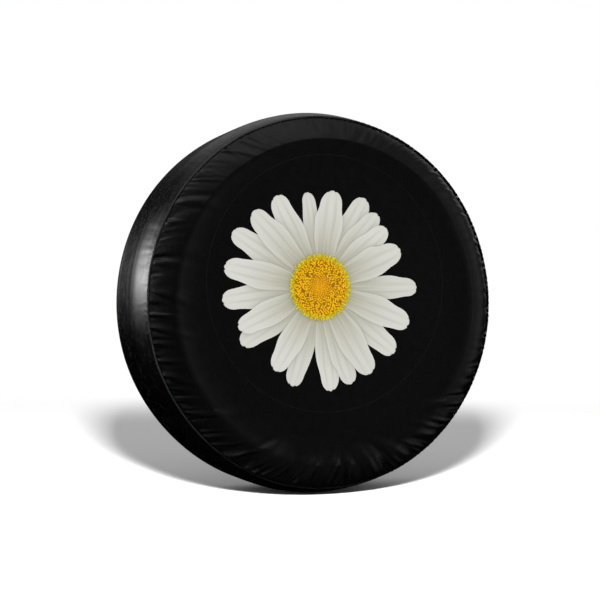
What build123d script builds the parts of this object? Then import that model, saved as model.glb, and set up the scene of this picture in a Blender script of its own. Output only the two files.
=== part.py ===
"""Spare tyre cover for a P235/75R15 spare wheel, sewn from coated polyester, in millimetres.

The wheel's axle lies along Y. The printed face looks to -Y and the open, elasticated back to +Y. +Z is up.
The origin is the centre of the tyre that fills the cover. Every sewn shell is drawn as its section, with
X as the radius and Y along the axle, and then revolved about Y.
"""

import os
from math import asin, cos, degrees, radians, sin, tan

from build123d import *

# Driving dimensions of the sewn shell.
COVER_RADIUS = 368.0
CLOTH = 1.5
TREAD_FLAT_HALF = 55.0
SEAM_RADIUS = 351.5
SEAM_OFFSET = 100.0
CREST_RADIUS = 307.0
FACE_CREST_OFFSET = 122.0
BACK_CREST_OFFSET = 121.0

# The face is dished: it falls from the crest to a flat centre.
DISH_DEPTH = 5.0
DISH_TURN_OUT = 22.0
DISH_TURN_IN = 48.0

# Elasticated hem round the back opening.
HEM_INNER_RADIUS = 215.0
HEM_OUTER_RADIUS = 235.0
HEM_CENTRE_Y = 115.0
HEM_THICKNESS = 10.0
HEM_WALL = 1.2
HEM_CORNER = 1.0
BACK_PANEL_SLOPE = 4.0
ELASTIC_RADIUS = 2.0
ELASTIC_BEND = 6.0

# Seam details.
PIPING_RADIUS = 1.5
PIPING_STAND_OFF = 1.6
TAPE_THICKNESS = 1.0
TAPE_WIDTH = 14.0
THREAD_WIDTH = 1.2
THREAD_HEIGHT = 0.5
JOIN_WIDTH = 18.0
JOIN_THICKNESS = 1.0
JOIN_ANGLE = -52.0
GAP = 0.1

# Printed flower, seen from the front: +X to the right, +Z up.
FILM = 0.4
FLOWER_X = -24.0
FLOWER_Z = 27.0
FLOWER_DISC_RADIUS = 60.0
PETAL_ROOT_RADIUS = 12.0
# Each petal: direction in degrees from +X towards +Z, reach from the flower's centre, and width.
PETALS = [
    (82.0, 185, 54),
    (63.0, 195, 50),
    (51.6, 186, 45),
    (39.6, 181, 45),
    (24.3, 185, 54),
    (0.4, 205, 42),
    (-18.4, 200, 50),
    (-37.6, 200, 48),
    (-56.3, 195, 52),
    (-71.1, 194, 42),
    (-83.3, 197, 44),
    (-105.9, 193, 42),
    (-119.3, 180, 46),
    (-144.7, 190, 45),
    (-154.5, 180, 45),
    (-172.7, 196, 45),
    (170.6, 194, 48),
    (151.2, 201, 45),
    (134.5, 193, 48),
    (119.0, 191, 45),
    (98.4, 180, 30),
]

# Cord lock that cinches the elastic, hanging at the bottom of the back opening.
EYELET_X = 6.0
EYELET_HOLE_RADIUS = 2.8
EYELET_FLANGE_RADIUS = 5.2
EYELET_FLANGE = 1.0
EYELET_BARREL_WALL = 0.5
PATCH_HALF_ANGLE = 5.0
PATCH_THICKNESS = 0.8
LOCK_CORD_X = 5.0
LOCK_DROP = 24.0
LOCK_STAND_OFF = 1.6
LOCK_LEFT = -18.0
LOCK_RIGHT = 12.5
LOCK_DEPTH = 13.0
LOCK_HEIGHT = 18.0
LOCK_EDGE = 4.0
LOCK_FIT = 0.2
CORD_HOLE_RADIUS = 2.3
BUTTON_DEPTH = 7.0
BUTTON_HEIGHT = 10.0
BUTTON_TRAVEL = 3.5
BUTTON_END_WALL = 2.0
BUTTON_HEAD = 4.0
SPRING_RADIUS = 2.6
SPRING_WIRE_RADIUS = 0.35
SPRING_TURNS = 4
SPRING_SOLID_LENGTH = 3.0
END_CAP_RADIUS = 3.6
END_CAP_LENGTH = 9.0
END_CAP_SOCKET = 7.0
END_CAP_GAP = 1.0

# Sewn-in label, left blank.
LABEL_WIDTH = 34.0
LABEL_LENGTH = 22.0
LABEL_THICKNESS = 0.8
LABEL_ANGLE = -62.0

# Worked out from the driving dimensions.
FACE_Y = -(FACE_CREST_OFFSET - DISH_DEPTH)
SHOULDER_DROP = COVER_RADIUS - SEAM_RADIUS
SHOULDER_RUN = SEAM_OFFSET - TREAD_FLAT_HALF
SHOULDER_ARC = (SHOULDER_DROP**2 + SHOULDER_RUN**2) / (2 * SHOULDER_DROP)
SHOULDER_CENTRE = COVER_RADIUS - SHOULDER_ARC
SHOULDER_ANGLE = degrees(asin(SHOULDER_RUN / SHOULDER_ARC))
HEM_BACK_Y = HEM_CENTRE_Y + HEM_THICKNESS / 2
HEM_MID_RADIUS = (HEM_INNER_RADIUS + HEM_OUTER_RADIUS) / 2
EYELET_BACK_Y = HEM_BACK_Y + PATCH_THICKNESS + EYELET_FLANGE
HINGE_Y = EYELET_BACK_Y + GAP + ELASTIC_RADIUS
LOCK_TOP_Z = -HEM_MID_RADIUS - LOCK_DROP + LOCK_HEIGHT / 2
LOCK_Y = HINGE_Y + LOCK_STAND_OFF
LOCK_Z = -HEM_MID_RADIUS - LOCK_DROP


def turn(section, start=0.0, size=360.0):
    """A section revolved about the axle, starting at an angle from +X towards +Z."""
    solid = revolve(section, Axis.Y, -size)
    return solid.rotate(Axis.Y, -start)


def side_arc(crest_offset):
    """(radius, centre X, centre Y) of the arc from a seam up to the crest of the side it belongs to."""
    run = SEAM_RADIUS - CREST_RADIUS
    rise = crest_offset - SEAM_OFFSET
    radius = (run**2 + rise**2) / (2 * rise)
    return radius, CREST_RADIUS, crest_offset - radius


def band_section(inset, thickness, first=-SHOULDER_ANGLE, last=SHOULDER_ANGLE):
    """The tread band's section between two depths under its outside, from one shoulder angle to another."""
    outer = SHOULDER_ARC - inset
    inner = outer - thickness
    edges = []
    for radius in (outer, inner):
        x = SHOULDER_CENTRE + radius
        front = CenterArc((SHOULDER_CENTRE, -TREAD_FLAT_HALF), radius, first, -first)
        flat = Line((x, -TREAD_FLAT_HALF), (x, TREAD_FLAT_HALF))
        back = CenterArc((SHOULDER_CENTRE, TREAD_FLAT_HALF), radius, 0, last)
        edges += [front, flat, back]
    edges.append(Line(edges[0] @ 0, edges[3] @ 0))
    edges.append(Line(edges[2] @ 1, edges[5] @ 1))
    return make_face(edges)


def strip_on_shoulder(inset, thickness, start, width):
    """Section of a narrow strip that follows the front shoulder, start and width measured along the arc."""
    outer = SHOULDER_ARC - inset
    inner = outer - thickness
    centre = (SHOULDER_CENTRE, -TREAD_FLAT_HALF)
    low = -SHOULDER_ANGLE + degrees(start / outer)
    size = degrees(width / outer)
    far = CenterArc(centre, outer, low, size)
    near = CenterArc(centre, inner, low, size)
    return make_face([far, near, Line(far @ 0, near @ 0), Line(far @ 1, near @ 1)])


def strip_on_side(crest_offset, inset, thickness, start, width):
    """Section of a narrow strip that follows a side's arc, drawn at +Y, start measured inwards from the seam."""
    arc, x, y = side_arc(crest_offset)
    outer = arc - inset
    inner = outer - thickness
    seam_angle = degrees(asin((SEAM_OFFSET - y) / arc))
    low = seam_angle + degrees(start / outer)
    size = degrees(width / outer)
    far = CenterArc((x, y), outer, low, size)
    near = CenterArc((x, y), inner, low, size)
    return make_face([far, near, Line(far @ 0, near @ 0), Line(far @ 1, near @ 1)])


def face_panel():
    """Round printed panel: a shoulder arc from the seam to the crest, a shallow dish, then a flat centre."""
    arc, x, y = side_arc(FACE_CREST_OFFSET)
    seam_angle = degrees(asin((SEAM_OFFSET - y) / arc))
    slope = 2 * DISH_DEPTH / (DISH_TURN_OUT + DISH_TURN_IN)
    convex = DISH_TURN_OUT / sin(slope)
    concave = DISH_TURN_IN / sin(slope)
    flat_radius = CREST_RADIUS - DISH_TURN_OUT - DISH_TURN_IN
    flat_y = FACE_CREST_OFFSET - (convex + concave) * (1 - cos(slope))
    edges = []
    for depth in (0, CLOTH):
        shoulder = CenterArc((x, y), arc - depth, seam_angle, 90 - seam_angle)
        lip = CenterArc((x, FACE_CREST_OFFSET - convex), convex - depth, 90, degrees(slope))
        hollow = CenterArc((flat_radius, flat_y + concave), concave + depth, 270, degrees(slope))
        centre = Line((0, flat_y - depth), (flat_radius, flat_y - depth))
        edges += [shoulder, lip, hollow, centre]
    edges.append(Line(edges[0] @ 0, edges[4] @ 0))
    edges.append(Line(edges[3] @ 0, edges[7] @ 0))
    return turn(make_face(edges).mirror(Plane.XZ))


def tread_band():
    return turn(band_section(0, CLOTH))


def back_panel():
    """Ring over the rear sidewall, from the back seam to the hem."""
    arc, x, y = side_arc(BACK_CREST_OFFSET)
    seam_angle = degrees(asin((SEAM_OFFSET - y) / arc))
    edges = []
    for depth in (0, CLOTH):
        shoulder = CenterArc((x, y), arc - depth, seam_angle, 90 - seam_angle + BACK_PANEL_SLOPE)
        leave = shoulder @ 1
        drop = (leave.X - HEM_OUTER_RADIUS) * tan(radians(BACK_PANEL_SLOPE))
        web = Line(leave, (HEM_OUTER_RADIUS, leave.Y - drop))
        edges += [shoulder, web]
    edges.append(Line(edges[0] @ 0, edges[2] @ 0))
    edges.append(Line(edges[1] @ 1, edges[3] @ 1))
    return turn(make_face(edges))


def seam_piping():
    """Round welt lying in the seam between the band and the face panel."""
    arc, x, y = side_arc(FACE_CREST_OFFSET)
    band_normal = Vector(cos(radians(SHOULDER_ANGLE)), sin(radians(SHOULDER_ANGLE)))
    face_normal = Vector((SEAM_RADIUS - x) / arc, (SEAM_OFFSET - y) / arc)
    out = (band_normal + face_normal).normalized() * PIPING_STAND_OFF
    centre = Location((SEAM_RADIUS + out.X, -(SEAM_OFFSET + out.Y)))
    return turn(centre * Circle(PIPING_RADIUS))


def seam_tape(sign):
    """Binding tape over the raw edges inside a seam, at -Y for the face seam and +Y for the back seam."""
    section = strip_on_shoulder(CLOTH + GAP, TAPE_THICKNESS, 1.0, TAPE_WIDTH)
    if sign > 0:
        section = section.mirror(Plane.XZ)
    return turn(section)


def seam_topstitch():
    """Line of topstitching beside the piping, on the tread band."""
    return turn(strip_on_shoulder(-GAP - THREAD_HEIGHT, THREAD_HEIGHT, 6.0, THREAD_WIDTH))


def back_topstitch():
    """Line of topstitching on the back panel beside the back seam."""
    return turn(strip_on_side(BACK_CREST_OFFSET, -GAP - THREAD_HEIGHT, THREAD_HEIGHT, 3.0, THREAD_WIDTH))


def hem_topstitch():
    """Line of stitching that closes the hem's casing, on its back."""
    x = HEM_OUTER_RADIUS - 3.0
    line = Pos(x, HEM_BACK_Y + THREAD_HEIGHT / 2) * Rectangle(THREAD_WIDTH, THREAD_HEIGHT)
    return turn(line, start=-90 + PATCH_HALF_ANGLE + 1, size=360 - 2 * PATCH_HALF_ANGLE - 2)


def band_join():
    """Lapped end of the band's strip, where it is joined into a hoop."""
    angle = degrees(JOIN_WIDTH / COVER_RADIUS)
    inset = 8.0
    lap_angle = SHOULDER_ANGLE - degrees(inset / SHOULDER_ARC)
    section = band_section(-JOIN_THICKNESS, JOIN_THICKNESS, -lap_angle, lap_angle)
    return turn(section, start=JOIN_ANGLE - angle / 2, size=angle)


def hem_casing():
    """Folded tunnel round the back opening, hollow for the elastic, with two holes for the eyelets."""
    width = HEM_OUTER_RADIUS - HEM_INNER_RADIUS
    outer = RectangleRounded(width, HEM_THICKNESS, HEM_CORNER)
    inner = Rectangle(width - 2 * HEM_WALL, HEM_THICKNESS - 2 * HEM_WALL)
    tunnel = turn(Pos(HEM_MID_RADIUS, HEM_CENTRE_Y) * (outer - inner))
    for x in (-EYELET_X, EYELET_X):
        tunnel -= eyelet_tool(x, EYELET_HOLE_RADIUS + EYELET_BARREL_WALL, HEM_CENTRE_Y, HEM_BACK_Y + 1)
    return tunnel


def eyelet_tool(x, radius, y_start, y_end):
    """Cylinder along Y at an eyelet's place."""
    middle = (y_start + y_end) / 2
    return Pos(x, middle, -HEM_MID_RADIUS) * Rot(X=90) * Cylinder(radius, y_end - y_start)


def eyelet_patch():
    """Reinforcing patch on the hem under the eyelets."""
    inset = 2.0
    width = HEM_OUTER_RADIUS - HEM_INNER_RADIUS - 2 * inset
    section = Pos(HEM_MID_RADIUS, HEM_BACK_Y + PATCH_THICKNESS / 2) * Rectangle(width, PATCH_THICKNESS)
    patch = turn(section, start=-90 - PATCH_HALF_ANGLE, size=2 * PATCH_HALF_ANGLE)
    for x in (-EYELET_X, EYELET_X):
        hole = EYELET_HOLE_RADIUS + EYELET_BARREL_WALL
        patch -= eyelet_tool(x, hole, HEM_BACK_Y - 1, HEM_BACK_Y + PATCH_THICKNESS + 1)
    return patch


def eyelets():
    """Two pressed metal eyelets: a flange on the patch and a barrel through the hem's wall."""
    pair = []
    for x in (-EYELET_X, EYELET_X):
        patch_y = HEM_BACK_Y + PATCH_THICKNESS
        barrel_y = HEM_BACK_Y - HEM_WALL
        flange = eyelet_tool(x, EYELET_FLANGE_RADIUS, patch_y, EYELET_BACK_Y)
        barrel = eyelet_tool(x, EYELET_HOLE_RADIUS + EYELET_BARREL_WALL, barrel_y, EYELET_BACK_Y)
        ring = flange + barrel
        rim = ring.edges().group_by(Axis.Y)[-1].sort_by(SortBy.RADIUS)[-1]
        ring = fillet(rim, EYELET_FLANGE * 0.6)
        ring -= eyelet_tool(x, EYELET_HOLE_RADIUS, barrel_y - 1, EYELET_BACK_Y + 1)
        pair.append(ring)
    return Compound(children=pair)


def hem_elastic():
    """Elastic cord round the hem, bent out through the eyelets at both ends."""
    start = EYELET_X + ELASTIC_BEND
    gap = degrees(asin(start / HEM_MID_RADIUS))
    section = Pos(HEM_MID_RADIUS, HEM_CENTRE_Y) * Circle(ELASTIC_RADIUS)
    ring = turn(section, start=-90 + gap, size=360 - 2 * gap)
    cord = [ring]
    for side in (-1, 1):
        x = side * start
        z = -((HEM_MID_RADIUS**2 - start**2) ** 0.5)
        slope = Vector(-side * HEM_MID_RADIUS * cos(radians(gap)), 0, -start).normalized()
        first = Vector(x, HEM_CENTRE_Y, z)
        corner = first + slope * ELASTIC_BEND
        last = Vector(corner.X, EYELET_BACK_Y, corner.Z)
        path = FilletPolyline(first, corner, last, radius=ELASTIC_BEND * 0.999)
        profile = Plane(origin=first, z_dir=slope) * Circle(ELASTIC_RADIUS)
        cord.append(sweep(profile, path=path))
    return cord[0] + cord[1] + cord[2]


def lock_cord_path(side, reach):
    """Path of one cord end from its pivot at the eyelet down through the lock."""
    pivot = Vector(side * EYELET_X, HINGE_Y, -HEM_MID_RADIUS)
    knee = Vector(side * LOCK_CORD_X, LOCK_Y, LOCK_TOP_Z + 2)
    foot = Vector(side * LOCK_CORD_X, LOCK_Y, LOCK_Z - LOCK_HEIGHT / 2 - reach)
    return FilletPolyline(pivot, knee, foot, radius=10.0)


def lock_cords():
    """The two ends of the elastic between the eyelets and their end caps."""
    cords = []
    for side in (-1, 1):
        path = lock_cord_path(side, END_CAP_GAP + END_CAP_SOCKET)
        start = path @ 0
        profile = Plane(origin=start, z_dir=path % 0) * Circle(ELASTIC_RADIUS)
        ball = Pos(start) * Sphere(ELASTIC_RADIUS)
        cords.append(sweep(profile, path=path) + ball)
    return Compound(children=cords)


def lock_body():
    """Cord lock's moulded body: a rounded block with a bore for the button and two holes for the cords."""
    width = LOCK_RIGHT - LOCK_LEFT
    block = Box(width, LOCK_DEPTH, LOCK_HEIGHT)
    block = fillet(block.edges(), LOCK_EDGE)
    block = Pos((LOCK_LEFT + LOCK_RIGHT) / 2, LOCK_Y, LOCK_Z) * block
    bore_left = button_left() - BUTTON_TRAVEL - SPRING_SOLID_LENGTH
    bore_width = LOCK_RIGHT - bore_left + 1
    bore = Box(bore_width, BUTTON_DEPTH + 2 * LOCK_FIT, BUTTON_HEIGHT + 2 * LOCK_FIT)
    block -= Pos(bore_left + bore_width / 2, LOCK_Y, LOCK_Z) * bore
    for side in (-1, 1):
        hole = Cylinder(CORD_HOLE_RADIUS, 2 * LOCK_HEIGHT)
        block -= Pos(side * LOCK_CORD_X, LOCK_Y, LOCK_Z) * hole
    return block


def button_left():
    """X of the button's inner end."""
    return -LOCK_CORD_X - CORD_HOLE_RADIUS - BUTTON_END_WALL


def lock_button():
    """Sprung button: a bar with one slot for each cord, and a thumb pad outside the body."""
    left = button_left()
    neck = LOCK_RIGHT + BUTTON_TRAVEL + LOCK_FIT
    bar = Pos((left + neck) / 2, LOCK_Y, LOCK_Z) * Box(neck - left, BUTTON_DEPTH, BUTTON_HEIGHT)
    head = Box(BUTTON_HEAD, LOCK_DEPTH - 2, LOCK_HEIGHT - 3)
    head = fillet(head.edges().filter_by(Axis.X) + head.faces().sort_by(Axis.X)[-1].edges(), 1.5)
    button = bar + Pos(neck + BUTTON_HEAD / 2, LOCK_Y, LOCK_Z) * head
    for side in (-1, 1):
        first = side * LOCK_CORD_X - CORD_HOLE_RADIUS
        length = 2 * CORD_HOLE_RADIUS + BUTTON_TRAVEL
        slot = Box(length, 2 * CORD_HOLE_RADIUS, 2 * BUTTON_HEIGHT)
        slot = fillet(slot.edges().filter_by(Axis.Z), CORD_HOLE_RADIUS * 0.95)
        button -= Pos(first + length / 2, LOCK_Y, LOCK_Z) * slot
    return button


def lock_spring():
    """Coil spring between the bore's end and the button."""
    length = BUTTON_TRAVEL + SPRING_SOLID_LENGTH - 2 * SPRING_WIRE_RADIUS - 2 * GAP
    first = button_left() - BUTTON_TRAVEL - SPRING_SOLID_LENGTH + SPRING_WIRE_RADIUS + GAP
    coil = Helix(length / SPRING_TURNS, length, SPRING_RADIUS)
    wire = sweep(Plane(origin=coil @ 0, z_dir=coil % 0) * Circle(SPRING_WIRE_RADIUS), path=coil)
    return Pos(first, LOCK_Y, LOCK_Z) * Rot(Y=90) * wire


def cord_end_caps():
    """Moulded caps on the two cord ends, too wide to pull back through the lock."""
    caps = []
    for side in (-1, 1):
        top = LOCK_Z - LOCK_HEIGHT / 2 - END_CAP_GAP
        cap = Cylinder(END_CAP_RADIUS, END_CAP_LENGTH)
        cap = fillet(cap.edges().group_by(Axis.Z)[-1], END_CAP_RADIUS * 0.5)
        cap = fillet(cap.edges().group_by(Axis.Z)[0], END_CAP_RADIUS * 0.2)
        cap = Pos(side * LOCK_CORD_X, LOCK_Y, top - END_CAP_LENGTH / 2) * cap
        caps.append(cap - Pos(side * LOCK_CORD_X, LOCK_Y, top) * Cylinder(ELASTIC_RADIUS, 2 * END_CAP_SOCKET))
    return Compound(children=caps)


def sewn_label():
    """Blank label sewn in at the hem, lying on the back panel."""
    arc, x, y = side_arc(BACK_CREST_OFFSET)
    leave_x = x - arc * sin(radians(BACK_PANEL_SLOPE))
    leave_y = y + arc * cos(radians(BACK_PANEL_SLOPE))
    root = HEM_OUTER_RADIUS + 1.0
    lift = GAP + 0.2
    low_y = leave_y - (leave_x - root) * tan(radians(BACK_PANEL_SLOPE)) + lift
    end_y = low_y + LABEL_LENGTH * tan(radians(BACK_PANEL_SLOPE))
    corners = [
        (root, low_y),
        (root + LABEL_LENGTH, end_y),
        (root + LABEL_LENGTH, end_y + LABEL_THICKNESS),
        (root, low_y + LABEL_THICKNESS),
    ]
    size = degrees(LABEL_WIDTH / HEM_OUTER_RADIUS)
    return turn(make_face(Polyline(*corners, close=True)), start=LABEL_ANGLE - size / 2, size=size)


def petal_outline(angle, reach, width):
    """One petal as the hull of its broad tip and its narrow root."""
    tip = width * 0.4
    broad = width / 2
    shape = Pos(reach - tip, 0) * Circle(tip)
    belly = Pos(reach * 0.62, 0) * Circle(broad)
    root = Pos(FLOWER_DISC_RADIUS * 0.8, 0) * Circle(PETAL_ROOT_RADIUS)
    return Rot(Z=angle) * make_hull((shape + belly + root).edges())


def on_face(sketch):
    """A flat shape, drawn with +X right and +Y up, laid on the face as a film of ink."""
    front = Plane(origin=(FLOWER_X, FACE_Y, FLOWER_Z), x_dir=(1, 0, 0), z_dir=(0, -1, 0))
    return extrude(front * sketch, FILM)


def petal_print():
    """White petals of the print, fused into one film with a round gap for the yellow disc."""
    petals = Sketch()
    for angle, reach, width in PETALS:
        petals += petal_outline(angle, reach, width)
    return on_face(petals - Circle(FLOWER_DISC_RADIUS))


def disc_print():
    """Yellow middle of the printed flower."""
    return on_face(Circle(FLOWER_DISC_RADIUS))


PARTS = {
    "face_panel": face_panel,
    "petal_print": petal_print,
    "disc_print": disc_print,
    "tread_band": tread_band,
    "band_join": band_join,
    "back_panel": back_panel,
    "seam_piping": seam_piping,
    "face_seam_tape": lambda: seam_tape(-1),
    "back_seam_tape": lambda: seam_tape(1),
    "seam_topstitch": seam_topstitch,
    "back_topstitch": back_topstitch,
    "hem_casing": hem_casing,
    "hem_topstitch": hem_topstitch,
    "hem_elastic": hem_elastic,
    "eyelet_patch": eyelet_patch,
    "eyelets": eyelets,
    "sewn_label": sewn_label,
    "lock_cords": lock_cords,
    "lock_body": lock_body,
    "lock_button": lock_button,
    "lock_spring": lock_spring,
    "cord_end_caps": cord_end_caps,
}

os.makedirs("parts", exist_ok=True)
for name, build in PARTS.items():
    export_step(build(), f"parts/{name}.step")
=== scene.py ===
"""Looks of the spare tyre cover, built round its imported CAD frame.

Lengths are in metres and places are in the frame's axes: the wheel's axle is Y, the printed face looks
to -Y, the open back to +Y, and +Z is up. Angles round the axle are measured from +X towards +Z.
"""

import math

import bpy
import numpy as np
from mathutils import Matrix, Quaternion, Vector


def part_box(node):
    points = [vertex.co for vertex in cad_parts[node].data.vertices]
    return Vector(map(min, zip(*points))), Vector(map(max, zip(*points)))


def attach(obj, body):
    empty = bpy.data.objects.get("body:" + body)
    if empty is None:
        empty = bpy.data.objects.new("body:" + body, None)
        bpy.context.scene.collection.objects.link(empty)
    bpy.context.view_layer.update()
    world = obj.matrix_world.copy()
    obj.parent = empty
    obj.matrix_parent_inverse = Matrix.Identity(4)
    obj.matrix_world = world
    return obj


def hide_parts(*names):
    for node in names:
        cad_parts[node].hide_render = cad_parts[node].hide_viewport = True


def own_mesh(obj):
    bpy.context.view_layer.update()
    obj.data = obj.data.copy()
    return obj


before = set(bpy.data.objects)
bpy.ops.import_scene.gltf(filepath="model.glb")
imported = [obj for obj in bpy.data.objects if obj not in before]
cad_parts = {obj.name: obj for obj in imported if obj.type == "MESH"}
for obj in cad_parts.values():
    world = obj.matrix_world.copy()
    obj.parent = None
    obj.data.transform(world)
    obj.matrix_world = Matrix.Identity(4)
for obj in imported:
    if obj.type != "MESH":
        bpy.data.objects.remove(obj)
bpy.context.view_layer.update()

TAU = 2 * math.pi
MM = 0.001

# Sizes read from the frame.
TREAD_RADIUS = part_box("tread_band")[1].x
SEAM_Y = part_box("tread_band")[1].y
SEAM_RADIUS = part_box("face_panel")[1].x
FACE_CREST_Y = -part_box("face_panel")[0].y
BACK_CREST_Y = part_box("back_panel")[1].y
FACE_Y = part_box("petal_print")[1].y
HEM_FRONT_Y, HEM_BACK_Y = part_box("hem_casing")[0].y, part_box("hem_casing")[1].y
HEM_OUTER_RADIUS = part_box("hem_casing")[1].x
DISC_LOW, DISC_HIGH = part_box("disc_print")
FLOWER = ((DISC_LOW.x + DISC_HIGH.x) / 2, (DISC_LOW.z + DISC_HIGH.z) / 2)
DISC_RADIUS = (DISC_HIGH.x - DISC_LOW.x) / 2

# The cover's section. It follows the CAD's, but its front crest stands prouder and its cloth is thinner.
CLOTH = 1.2 * MM
BAND_FLAT_FRONT, BAND_FLAT_REAR = 32 * MM, 55 * MM
CREST_RADIUS = 307 * MM
CREST_PROUD = 2 * MM
DISH_DEPTH = FACE_CREST_Y + CREST_PROUD + FACE_Y
DISH_TURN_OUT = 5 * MM
DISH_TURN_IN = 59 * MM
BEVEL_TURN = 24.0
CREST_TURN_RADIUS = 7 * MM
BACK_PANEL_SLOPE = 4.0
HEM_INNER_RADIUS = 215 * MM
JOIN_ANGLE = math.radians(-52)
JOIN_WIDTH = 18 * MM
SPOKES = 1200

# The gathers stay level for this far on each side of the eyelets, then rise over the next stretch.
EYELET_ANGLE = -math.pi / 2
EYELET_LEVEL = math.radians(5.5)
EYELET_RISE = math.radians(5)
GATHER_HEIGHT = 6.5 * MM

# The print stays flat, and the cover goes out of true beyond it.
PRINT_FLAT = 0.26
FOLDS_FROM, FOLDS_FADE = 0.252, 0.05


# ---------------------------------------------------------------- shapes

def arc(centre, radius, start, end, step):
    """Section points along an arc, with angles in degrees from outwards towards +Y."""
    count = max(2, math.ceil(abs(math.radians(end - start)) * radius / step))
    angles = np.radians(np.linspace(start, end, count + 1))
    return np.stack([centre[0] + radius * np.cos(angles), centre[1] + radius * np.sin(angles)], 1)


def line(first, last, step):
    """Section points along a straight run."""
    first, last = np.array(first), np.array(last)
    count = max(1, math.ceil(np.linalg.norm(last - first) / step))
    return first + (last - first) * np.linspace(0, 1, count + 1)[:, None]


def chain(*runs):
    """Runs of section points joined end to end, without the doubled ends."""
    return np.vstack([runs[0]] + [run[1:] for run in runs[1:]])


def mirrored(section):
    """The section on the other side of the tyre's middle."""
    return section * np.array([1, -1])


def smooth(x):
    """0 to 1 with soft ends, for x from 0 to 1."""
    x = np.clip(x, 0, 1)
    return x * x * (3 - 2 * x)


def turn_between(theta, centre):
    """How far theta lies past centre, from minus to plus half a turn."""
    return (theta - centre + math.pi) % TAU - math.pi


def clear_of_eyelets(theta):
    """0 where the hem lies level at the eyelets, 1 all round the rest."""
    return smooth((np.abs(turn_between(theta, EYELET_ANGLE)) - EYELET_LEVEL) / EYELET_RISE)


def everywhere(_):
    """A strength that is the same all round."""
    return 1.0


def waves(seed, theta, turns, height):
    """Sum of a few random waves round the axle, one for each number of turns."""
    rng = np.random.default_rng(seed)
    total = np.zeros_like(theta)
    for count in turns:
        total += rng.uniform(0.5, 1.0) * np.cos(count * theta + rng.uniform(0, TAU))
    return total * height / math.sqrt(len(turns))


def settle(points):
    """Lets the whole cover sit a little out of true, the same for every piece, but not at the print."""
    x, y, z = points[..., 0], points[..., 1], points[..., 2]
    radius = np.hypot(x, z)
    theta = np.arctan2(z, x)
    share = smooth((radius - PRINT_FLAT) / 0.06)
    bulge = waves(3, theta, (2, 3, 5, 7), 0.8 * MM) * share
    near_seam = np.exp(-((radius - SEAM_RADIUS) / 0.02) ** 2) * np.exp(-((np.abs(y) - SEAM_Y) / 0.02) ** 2)
    wander = waves(5, theta, (9, 14, 19, 27, 38), 0.55 * MM) * near_seam
    scale = 1 + (bulge + 0.4 * wander) / np.maximum(radius, 0.05)
    return np.stack([x * scale, y + wander, z * scale], -1)


def pleats(seed, cloth, count, length, width, height, strength=everywhere, lean=None):
    """Random folds that run in from a cloth's first ring: each a ridge with a groove beside it."""
    rng = np.random.default_rng(seed)
    reach = cloth.reach[:, None]
    radius = cloth.section[:, :1]
    rise = np.zeros((len(cloth.reach), len(cloth.theta)))
    for _ in range(count):
        centre = rng.uniform(0, TAU)
        long = rng.uniform(*length)
        wide = rng.uniform(*width)
        high = rng.uniform(*height) * strength(centre)
        bend = rng.normal(0, 0.12)
        slant = (lean(centre) if lean else 0.0) + bend
        groove = rng.uniform(0.9, 1.5) * rng.choice((-1, 1))
        rows = cloth.reach < long
        off = turn_between(cloth.theta, centre)
        across = (radius[rows] * off - slant * reach[rows]) / (wide * (1 + 0.6 * reach[rows] / long))
        along = np.clip(reach[rows] / long, 0, 1)
        fade = (1 - along) ** 1.4 * (0.22 + 0.78 * smooth(along / 0.2))
        fold = np.exp(-across ** 2) - 0.7 * np.exp(-((across - groove) ** 2) / 0.8)
        rise[rows] += high * fade * fold
    return rise


def ripples(seed, cloth, count, length, width, height, strength=None):
    """Random long creases that run round the axle, each a soft ridge of its own length."""
    rng = np.random.default_rng(seed)
    radius = cloth.section[:, :1]
    rise = np.zeros((len(cloth.reach), len(cloth.theta)))
    for _ in range(count):
        centre = rng.uniform(0, TAU)
        row = rng.uniform(cloth.reach[0], cloth.reach[-1])
        long = rng.uniform(*length)
        wide = rng.uniform(*width)
        high = rng.uniform(*height) * rng.choice((-1, 1))
        if strength:
            high *= strength(centre, row)
        off = turn_between(cloth.theta, centre) * radius
        tilt = rng.normal(0, 0.02)
        across = (cloth.reach[:, None] - row - tilt * off) / wide
        rise += high * np.exp(-across ** 2) * np.exp(-(off / long) ** 2)
    return rise


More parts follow.
